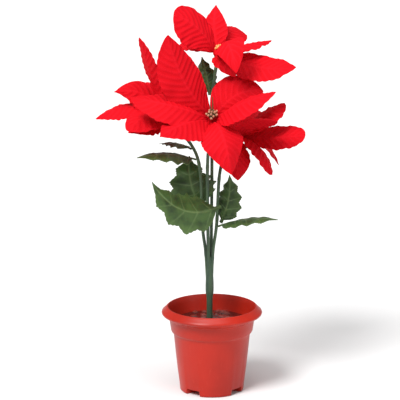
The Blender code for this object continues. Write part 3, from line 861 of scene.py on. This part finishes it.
@dataclass(frozen=True)
class Stems:
    """The trunk with its moulded collar, and the four stems with the cups they end in."""

    heads: tuple[Head, ...]
    ways: dict[str, tuple[Point, ...]]
    trunk_x: float = -2.0
    trunk_y: float = 1.0
    foot: float = 28.0
    trunk_radius: float = 2.7
    trunk_top: float = 88.0
    collar_radius: float = 3.7
    stem_radius: float = 1.45
    cup_radius: float = 3.6
    cup_length: float = 6.0

    def trunk(self, kit: MeshKit) -> None:
        """Adds the trunk, which swells into the collar and ends among the stems."""
        top = self.trunk_top
        levels = np.array(((self.foot, self.trunk_radius), (60.0, self.trunk_radius),
                           (top - 5.0, self.trunk_radius), (top - 2.0, self.trunk_radius + 0.3),
                           (top + 2.0, self.collar_radius), (top + 10.0, self.collar_radius),
                           (top + 22.0, 3.0), (top + 34.0, 1.6)))
        z = np.concatenate([np.linspace(self.foot, 60.0, 6)[:-1],
                            np.linspace(60.0, top + 34.0, 60)])
        radii = np.interp(z, levels[:, 0], levels[:, 1])
        radii = np.convolve(np.pad(radii, 2, mode="edge"), np.ones(5) / 5, mode="valid")
        way = np.stack([0 * z + self.trunk_x, 0 * z + self.trunk_y, z], axis=1)
        kit.tube(way, radii, 28, trunk=1.0)

    def stem(self, kit: MeshKit, head: Head) -> None:
        """Adds the stem of a head, with its joints, and the cup at its end."""
        seat, axis = np.array(head.seat), unit(head.axis)
        cup_top = seat - axis * (head.hub_height / 2 + head.seat_gap)
        cup_foot = cup_top - axis * self.cup_length
        way = smooth_way([*self.ways[head.name], cup_foot, cup_top - axis], 90)
        walk = np.linspace(0.0, 1.0, 90)
        joints = sum(bell(walk - place, 0.012) for place in (0.22, 0.47, 0.71, 0.93))
        kit.tube(way, self.stem_radius * (1.0 + 0.13 * joints - 0.03 * walk), 18, trunk=0.0)
        share = np.linspace(0.0, 1.0, 12)
        radii = np.interp(share, (0.0, 0.6, 1.0), (self.stem_radius * 1.15,
                                                    self.cup_radius * 0.8, self.cup_radius))
        kit.tube(cup_foot + np.outer(share, axis * self.cup_length), radii, 24, trunk=0.3)

    def piece(self, material: bpy.types.Material) -> bpy.types.Object:
        """Makes the piece of the trunk and all its stems."""
        kit = MeshKit()
        self.trunk(kit)
        for head in self.heads:
            self.stem(kit, head)
        return kit.make("coated_stems", material, ["stems"])


@dataclass(frozen=True)
class Pot:
    """The moulded pot: foot with notches, fluted wall, collar and turned-out rim."""

    rim_radius: float = 45.0
    height: float = 77.0
    base_radius: float = 28.5
    wall: float = 1.5
    segments: int = 288
    turn: float = 7.5
    lobes: int = 4
    flute_depth: float = 0.7
    flute_top: float = 50.0
    notch_height: float = 5.0
    notch_half_angle: float = 14.0
    notch_inner: float = 10.0
    drain_radius: float = 3.0
    drain_place: float = 17.0

    def outside(self) -> np.ndarray:
        """Gives the outer profile from the middle of the base up to the rim."""
        wall = [(28.62, 2.0), (28.85, 4.9), (28.9, 5.2), (30.6, 18.0), (32.6, 36.0),
                (34.05, 50.5), (34.4, 52.6), (34.9, 53.6), (36.1, 54.4), (36.6, 55.5),
                (37.3, 60.0), (38.1, 65.4), (38.6, 66.6), (39.6, 67.2), (42.0, 68.7),
                (44.2, 70.0), (44.8, 70.8), (self.rim_radius, 71.6), (44.7, 72.5),
                (43.4, 73.6), (41.6, 75.4), (40.6, 76.5), (39.9, self.height)]
        foot = [(0.0, 0.0), (4.0, 0.0), (9.9, 0.0), (10.1, 0.0), (16.0, 0.0), (22.0, 0.0),
                (27.4, 0.0), (28.2, 0.25), (28.5, 0.8)]
        return np.array(foot + wall)

    def inside(self) -> np.ndarray:
        """Gives the inner profile from the rim down to the middle of the floor."""
        floor = self.notch_height + self.wall
        return np.array([(39.3, self.height - 0.1), (39.0, 76.3), (38.0, 71.0), (37.1, 66.0),
                         (36.4, 62.0), (35.2, 56.5), (34.4, 54.6), (32.7, 52.4), (32.3, 50.5),
                         (28.9, 18.0), (27.0, floor), (14.0, floor), (0.0, floor)])

    def piece(self, material: bpy.types.Material) -> bpy.types.Object:
        """Makes the pot."""
        outside, inside = self.outside(), self.inside()
        profile = np.concatenate([outside, inside])
        angles = np.linspace(0.0, 360.0, self.segments, endpoint=False)
        quarter = 360.0 / self.lobes
        from_lobe = np.abs((angles - self.turn + 90.0 + quarter / 2) % quarter - quarter / 2)
        flute = np.clip((from_lobe - 28.0) / 10.0, 0.0, 1.0)
        flute = flute * flute * (3.0 - 2.0 * flute)
        notch = from_lobe > quarter / 2 - self.notch_half_angle
        radii = np.repeat(profile[:, :1], self.segments, axis=1)
        heights = np.repeat(profile[:, 1:], self.segments, axis=1)
        outer = (np.arange(len(profile)) < len(outside)) & (profile[:, 0] > self.base_radius - 2)
        fade = np.clip(1.0 - heights / self.flute_top, 0.0, 1.0) * outer[:, None]
        radii = radii - self.flute_depth * fade * flute
        under = (np.arange(len(profile)) < 11) & (profile[:, 0] > self.notch_inner)
        raised = under[:, None] & notch[None, :]
        heights = np.where(raised, np.maximum(heights, self.notch_height), heights)
        kit = MeshKit()
        kit.turned(radii, heights)
        pot = kit.make("moulded_pot", material, ["pot"], sharp=32.0)
        self.cut_drains(pot)
        return pot

    def cut_drains(self, pot: bpy.types.Object) -> None:
        """Cuts the round drain holes in the ceilings of the four channels."""
        kit = MeshKit()
        for k in range(self.lobes):
            angle = math.radians(self.turn - 90.0 + (k + 0.5) * 360.0 / self.lobes)
            middle = self.drain_place * np.array((math.cos(angle), math.sin(angle), 0.0))
            ends = np.array([middle + (0, 0, 3.0), middle + (0, 0, 9.0)])
            kit.tube(ends, np.full(2, self.drain_radius), 32)
        mesh = bpy.data.meshes.new("drains")
        mesh.from_pydata(np.concatenate(kit.points) * MM, [], kit.faces)
        cutter = bpy.data.objects.new("drains", mesh)
        bpy.context.scene.collection.objects.link(cutter)
        cut = pot.modifiers.new("drains", "BOOLEAN")
        cut.operation, cut.solver, cut.object = "DIFFERENCE", "EXACT", cutter
        bpy.context.view_layer.update()
        graph = bpy.context.evaluated_depsgraph_get()
        cut_mesh = bpy.data.meshes.new_from_object(pot.evaluated_get(graph))
        pot.modifiers.clear()
        pot.data = cut_mesh
        bpy.data.objects.remove(cutter, do_unlink=True)


@dataclass(frozen=True)
class Fill:
    """The set fill of the pot, poured in lumps round the trunk."""

    level: float = 61.2
    mound: float = 5.2
    hole: float = 3.0
    hole_floor: float = 27.0
    rings: int = 46
    segments: int = 160
    trunk: tuple[float, float] = (-2.0, 1.0)
    lumps: int = 70
    seed: int = 8

    def surface(self, x: np.ndarray, y: np.ndarray) -> np.ndarray:
        """Gives the height of the lumps over the fill's level at places in the pot."""
        draw = np.random.default_rng(self.seed)
        height = 0.0 * x
        for _ in range(self.lumps):
            angle, reach = draw.uniform(0, 2 * math.pi), 33.0 * math.sqrt(draw.uniform())
            size, rise = draw.uniform(2.2, 5.0), draw.uniform(0.5, 2.3)
            away = np.hypot(x - reach * math.cos(angle), y - reach * math.sin(angle))
            height = np.maximum(height, rise * np.clip(1.0 - (away / size) ** 2, 0, 1) ** 0.8)
        return height

    def piece(self, material: bpy.types.Material) -> bpy.types.Object:
        """Makes the fill."""
        reach = np.concatenate([[self.hole], np.linspace(self.hole + 0.3, 34.9, self.rings)])
        angles = np.linspace(0.0, 2 * math.pi, self.segments, endpoint=False)
        pull = np.clip(1.0 - (reach - self.hole) / 24.0, 0.0, 1.0)[:, None]
        x = reach[:, None] * np.cos(angles) + self.trunk[0] * pull
        y = reach[:, None] * np.sin(angles) + self.trunk[1] * pull
        bumps = self.surface(x, y)
        fade = np.clip((35.0 - reach) / 2.0, 0.0, 1.0)[:, None]
        top = (self.level + self.mound * np.exp(-(reach / 14.0) ** 2)[:, None]
               + bumps * fade * np.clip(reach / 7.0, 0, 1)[:, None]
               + 1.6 * np.clip(y / 30.0, 0, 1))
        kit = MeshKit()
        lower = np.array([(33.7, 55.0), (31.8, 51.3), (28.4, 18.0), (26.7, 6.9)])
        low_x = lower[:, :1] * np.cos(angles)
        low_y = lower[:, :1] * np.sin(angles)
        well_x = self.hole * np.cos(angles) + self.trunk[0]
        well_y = self.hole * np.sin(angles) + self.trunk[1]
        xs = np.concatenate([[well_x], x, low_x])
        ys = np.concatenate([[well_y], y, low_y])
        zs = np.concatenate([[0 * angles + self.hole_floor], top,
                             np.repeat(lower[:, 1:], self.segments, axis=1)])
        rows = len(xs)
        points = np.stack([xs, ys, zs], axis=-1).reshape(-1, 3)
        faces = [(r * self.segments + k, r * self.segments + (k + 1) % self.segments,
                  (r + 1) * self.segments + (k + 1) % self.segments, (r + 1) * self.segments + k)
                 for r in range(rows - 1) for k in range(self.segments)]
        faces.append(tuple(range(self.segments)))
        faces.append(tuple(range((rows - 1) * self.segments, rows * self.segments)))
        # rise carries the painted shade of the dips and the painted highlights of the lumps,
        # besides the coat.
        rise = np.concatenate([[0 * angles], np.clip(bumps / 1.8, 0, 1), 0 * low_x])
        kit.add(points, faces, rise=rise)
        return kit.make("set_fill", material, ["pot_fill"], sharp=60.0)


@dataclass(frozen=True)
class PhotoCamera:
    """The camera, which looks down on the front of the plant as the photograph does."""

    target: Point = (-10.6, 0.0, 174.5)
    distance: float = 2500.0
    elevation: float = 14.0
    mm_per_pixel: float = 0.886
    frame_pixels: int = 400
    sensor: float = 36.0

    def place(self) -> bpy.types.Object:
        """Makes the camera and gives it to the scene."""
        tilt = math.radians(self.elevation)
        data = bpy.data.cameras.new("photo_camera")
        data.sensor_width = self.sensor
        data.lens = self.sensor * self.distance / (self.mm_per_pixel * self.frame_pixels)
        camera = bpy.data.objects.new("photo_camera", data)
        bpy.context.scene.collection.objects.link(camera)
        back = np.array((0.0, -math.cos(tilt), math.sin(tilt))) * self.distance
        camera.location = (np.array(self.target) + back) * MM
        camera.rotation_euler = (math.pi / 2 - tilt, 0.0, 0.0)
        bpy.context.scene.camera = camera
        return camera


@dataclass(frozen=True)
class Lamp:
    """A wide, soft and far lamp, which lights the plant and the floor alike."""

    name: str
    azimuth: float
    elevation: float
    power: float
    spread: float = 40.0

    def hang(self) -> None:
        """Makes the lamp. Azimuth 0 shines from the front and 90 from the right."""
        data = bpy.data.lights.new(self.name, "SUN")
        data.energy, data.angle = self.power, math.radians(self.spread)
        lamp = bpy.data.objects.new(self.name, data)
        bpy.context.scene.collection.objects.link(lamp)
        turn, rise = math.radians(self.azimuth), math.radians(self.elevation)
        lamp.location = (math.sin(turn) * math.cos(rise), -math.cos(turn) * math.cos(rise),
                         math.sin(rise))
        way = -Vector(lamp.location)
        lamp.rotation_euler = way.to_track_quat("-Z", "Y").to_euler()


@dataclass(frozen=True)
class Studio:
    """The pale floor, the white surroundings and the soft lamps."""

    floor_radius: float = 9.0
    floor_colour: Colour = (0.80, 0.80, 0.80)
    sky: float = 0.36
    lamps: tuple[Lamp, ...] = (
        Lamp("left_box", azimuth=-35.0, elevation=50.0, power=3.0, spread=22.0),
        Lamp("right_box", azimuth=50.0, elevation=25.0, power=0.35),
        Lamp("top_box", azimuth=0.0, elevation=80.0, power=1.3))

    def build(self) -> None:
        """Makes the floor, the surroundings and the lamps."""
        shader = Shader("studio_floor", Roughness=0.9, Specular_IOR_Level=0.1)
        cloud = shader.noise(3.0, 2.0)
        dim = tuple(0.985 * channel for channel in self.floor_colour)
        material = shader.dress(Base_Color=shader.mix(cloud, self.floor_colour, dim))
        mesh = bpy.data.meshes.new("studio_floor")
        angles = np.linspace(0.0, 2 * math.pi, 64, endpoint=False)
        ring = [(self.floor_radius * math.cos(a), self.floor_radius * math.sin(a), -0.0002)
                for a in angles]
        mesh.from_pydata(ring, [], [tuple(range(64))])
        mesh.materials.append(material)
        floor = bpy.data.objects.new("studio_floor", mesh)
        bpy.context.scene.collection.objects.link(floor)
        world = bpy.data.worlds.new("studio_sky")
        bpy.context.scene.world = world
        world.use_nodes = True
        background = world.node_tree.nodes["Background"]
        background.inputs["Color"].default_value = (1.0, 1.0, 1.0, 1.0)
        background.inputs["Strength"].default_value = self.sky
        for lamp in self.lamps:
            lamp.hang()
        bpy.context.scene.view_settings.view_transform = "Standard"


TOP_HEAD = Head(
    name="top", seat=(5.3, 18.0, 303.5), axis=(0.10, -0.50, 0.86), beads=7, spread=2.9, seed=2,
    bracts=(
        Bract(tip=(-39.0, -9.0, 36.0), width=43.0, bow=4.5, sway=3.5, roll=9.0, belly=0.58),
        Bract(tip=(-1.5, 35.5, 36.5), width=24.0, bow=2.5, sway=-3.0, roll=20.0, belly=0.42),
        Bract(tip=(15.5, -44.0, -9.0), width=29.0, bow=20.0, roll=-24.0),
        Bract(tip=(15.0, -19.5, -17.5), width=30.0, bow=10.0, sway=1.5, roll=8.0),
        Bract(tip=(68.0, -19.5, -9.0), width=37.0, bow=-6.5, sway=1.0, fold=-4.0),
        Bract(tip=(47.5, 22.5, 7.0), width=28.0, bow=3.0, roll=35.0),
        Bract(tip=(16.0, 62.0, 10.0), width=36.0, bow=10.0),
        Bract(tip=(-34.0, 50.0, -4.0), width=34.0, bow=10.0),
    ),
)

FRONT_HEAD = Head(
    name="front", seat=(0.0, -14.0, 251.5), axis=(0.0, -0.75, 0.66), beads=12, spread=5.4,
    kind=FloretKind.SEEDED, style=(0.0, -0.2, 1.0), seed=3,
    bracts=(
        Bract(tip=(-38.5, -2.5, 74.5), width=42.0, bow=5.0, sway=-8.0, roll=-6.0),
        Bract(tip=(45.0, 15.0, 21.0), width=42.0, bow=9.0, sway=-5.0, roll=-8.0, fold=-11.0),
        Bract(tip=(54.5, -33.5, 30.5), width=37.0, bow=7.5, sway=2.0, roll=27.0, fold=-20.0),
        Bract(tip=(16.5, -39.0, -41.0), width=41.0, bow=18.5, sway=-1.0, roll=6.0, fold=-24.0),
        Bract(tip=(-45.0, -44.0, -6.5), width=42.0, bow=5.0, sway=2.0, roll=-10.0, belly=0.42),
        Bract(tip=(-71.0, -9.0, 20.5), width=40.0, bow=13.0, sway=-4.5, roll=-17.0),
    ),
)

LEFT_HEAD = Head(
    name="left", seat=(-39.6, 11.0, 247.0), axis=(-0.45, -0.30, 0.84), beads=4, spread=1.5,
    seed=4,
    bracts=(
        Bract(tip=(-24.5, -2.0, 72.0), width=28.0, bow=1.5, sway=-1.5, roll=28.0),
        Bract(tip=(-46.5, -0.5, 23.0), width=35.0, bow=6.0, sway=9.0, roll=14.0, belly=0.40),
        Bract(tip=(-63.5, 7.5, -3.0), width=36.0, bow=12.0, sway=2.0, roll=-9.0),
        Bract(tip=(-34.0, -37.5, -4.0), width=38.0, bow=9.5, sway=-4.0, roll=20.0, belly=0.55),
        Bract(tip=(-32.5, -20.5, -9.5), width=36.0, bow=1.5, sway=2.5, fold=-20.0),
        Bract(tip=(-30.0, 64.0, 16.0), width=38.0, bow=8.0),
        Bract(tip=(6.0, 62.0, 2.0), width=36.0, bow=8.0),
    ),
)

RIGHT_HEAD = Head(
    name="right", seat=(23.1, 19.0, 230.0), axis=(0.55, -0.25, 0.80), beads=5, spread=2.3,
    seed=5,
    bracts=(
        Bract(tip=(41.5, 7.5, 26.5), width=34.0, bow=4.0, roll=31.0, belly=0.58),
        Bract(tip=(34.5, -28.0, 17.5), width=30.0, bow=7.0, sway=7.0, roll=7.0, belly=0.55),
        Bract(tip=(59.5, -10.0, 1.5), width=36.0, bow=-2.0, roll=-12.0, fold=-2.0, belly=0.61),
        Bract(tip=(30.0, -25.5, -31.0), width=28.0, bow=8.5, sway=2.0, roll=9.0, belly=0.58),
        Bract(tip=(37.0, 25.0, -34.0), width=22.0, bow=5.0, sway=-12.0, roll=32.0, fold=-8.0),
        Bract(tip=(-0.5, -42.0, -32.0), width=30.0, bow=4.5, sway=4.0, roll=-10.0),
        Bract(tip=(22.0, 65.0, 6.0), width=38.0, bow=8.0),
        Bract(tip=(-24.0, 55.0, 8.0), width=34.0, bow=8.0),
    ),
)

HEADS = (TOP_HEAD, FRONT_HEAD, LEFT_HEAD, RIGHT_HEAD)

STEM_WAYS: dict[str, tuple[Point, ...]] = {
    "top": ((-1.0, 2.6, 88.0), (-0.6, 4.6, 125.0), (-0.4, 6.5, 150.0), (0.0, 14.0, 205.0),
            (-0.5, 24.0, 255.0)),
    "front": ((-2.6, -0.8, 88.0), (-3.2, -0.6, 125.0), (-3.6, -2.0, 150.0),
              (-4.0, -2.5, 205.0), (-2.0, -3.0, 232.0)),
    "left": ((-3.4, 1.2, 88.0), (-5.4, 1.6, 125.0), (-8.4, 1.6, 150.0), (-10.6, 3.0, 201.0),
             (-18.5, 8.0, 223.0)),
    "right": ((-0.6, 0.2, 88.0), (0.8, 1.0, 125.0), (4.2, 2.0, 152.0), (6.6, 6.0, 195.0),
              (12.0, 16.0, 214.0)),
}

LEAVES = (
    Leaf(name="leaf_left_upright", root=(-8.5, 6.9, 164.0), tip=(-20.0, 15.5, 211.0),
         facing=(-0.1, -0.95, 0.2), width=46.0, bow=5.0, sway=-4.0, fold=-6.0),
    Leaf(name="leaf_left_low", root=(8.0, -4.6, 170.0), tip=(-52.5, -22.0, 196.0),
         facing=(0.1, -0.75, 0.65), width=42.0, bow=-4.0, sway=-14.0, fold=-14.0),
    Leaf(name="leaf_right_upright", root=(7.7, 2.8, 153.0), tip=(15.5, 4.5, 196.0),
         facing=(-0.5, -0.85, 0.2), width=28.0, bow=-1.0, sway=3.0),
    Leaf(name="leaf_right_low", root=(5.5, 0.6, 150.5), tip=(58.0, -22.0, 162.0),
         facing=(0.0, 0.0, 1.0), width=38.0, bow=4.0),
    Leaf(name="leaf_left_high", root=(-14.3, 2.9, 211.0), tip=(-66.0, -18.0, 217.0),
         facing=(-0.1, -0.15, 1.0), width=36.0, bow=4.0),
    Leaf(name="leaf_left_small", root=(-18.1, 9.0, 219.0), tip=(-47.0, 28.0, 219.0),
         facing=(0.0, 0.1, 1.0), width=24.0, bow=3.0),
    Leaf(name="leaf_right_high", root=(13.8, 19.2, 214.0), tip=(46.0, 33.0, 217.0),
         facing=(0.0, 0.1, 1.0), width=20.0, bow=3.0),
    Leaf(name="leaf_top", root=(-1.5, 26.1, 264.0), tip=(-9.0, 34.0, 297.0),
         facing=(0.0, -0.95, 0.3), width=20.0, bow=3.0),
)

FLORET_PAINT = {
    FloretKind.BUDS: FloretPlastic("floret_orange", (
        (0.0, (0.45, 0.10, 0.03)), (0.45, (0.80, 0.22, 0.05)), (0.8, (0.95, 0.45, 0.12)),
        (1.0, (0.98, 0.62, 0.30)))),
    FloretKind.SEEDED: FloretPlastic("floret_brown", (
        (0.0, (0.035, 0.022, 0.008)), (0.4, (0.12, 0.085, 0.025)), (0.72, (0.36, 0.17, 0.08)),
        (1.0, (0.85, 0.40, 0.28)))),
}


def main() -> None:
    """Builds the studio and every piece of the plant in order."""
    logging.basicConfig(level=logging.INFO, format="%(message)s")
    PhotoCamera().place()
    Studio().build()
    Pot().piece(PotPlastic().material())
    Fill().piece(FillResin().material())
    Stems(HEADS, STEM_WAYS).piece(StemPlastic().material())
    leaf_cloth = LeafCloth().material()
    for leaf in LEAVES:
        leaf.piece(leaf_cloth)
    bract_cloth = BractCloth().material()
    paints = {kind: paint.material() for kind, paint in FLORET_PAINT.items()}
    for head in HEADS:
        head.bracts_piece(bract_cloth)
        head.florets_piece(paints[head.kind], FLORET_PAINT[head.kind].name)


if __name__ == "__main__":
    main()
